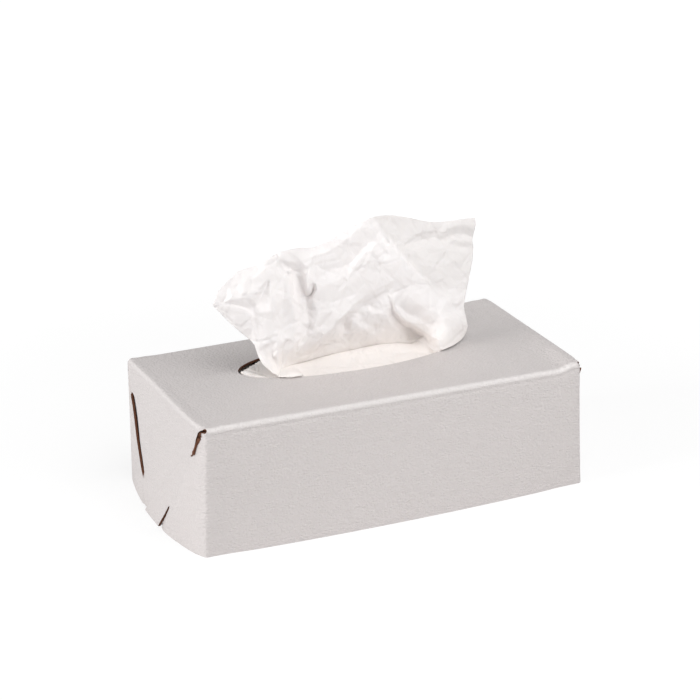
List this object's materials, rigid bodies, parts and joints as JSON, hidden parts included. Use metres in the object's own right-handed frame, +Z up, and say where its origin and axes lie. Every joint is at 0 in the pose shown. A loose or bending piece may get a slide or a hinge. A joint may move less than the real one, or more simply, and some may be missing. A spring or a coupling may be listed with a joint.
{
  "type": "tissue box cover",
  "caption": "Folded leather cover over a flat pack of facial tissues, open underneath, with hooked flaps at its ends, an oval opening in its top and one tissue pulled up.",
  "frame": {"origin": "centre of the foot: the middle of the overall box, on the surface that the cover stands on", "axes": "+X along the cover's length, +Y from the front panel to the back panel, +Z up"},
  "size_m": [0.2722, 0.13, 0.1723],
  "materials": {
    "leather": "satin, fine grained",
    "tissue": "matte, soft"
  },
  "bodies": {
    "root": {"cover": "leather", "tissue_stack": "tissue", "pulled_tissue": "tissue"}
  },
  "joints": []
}
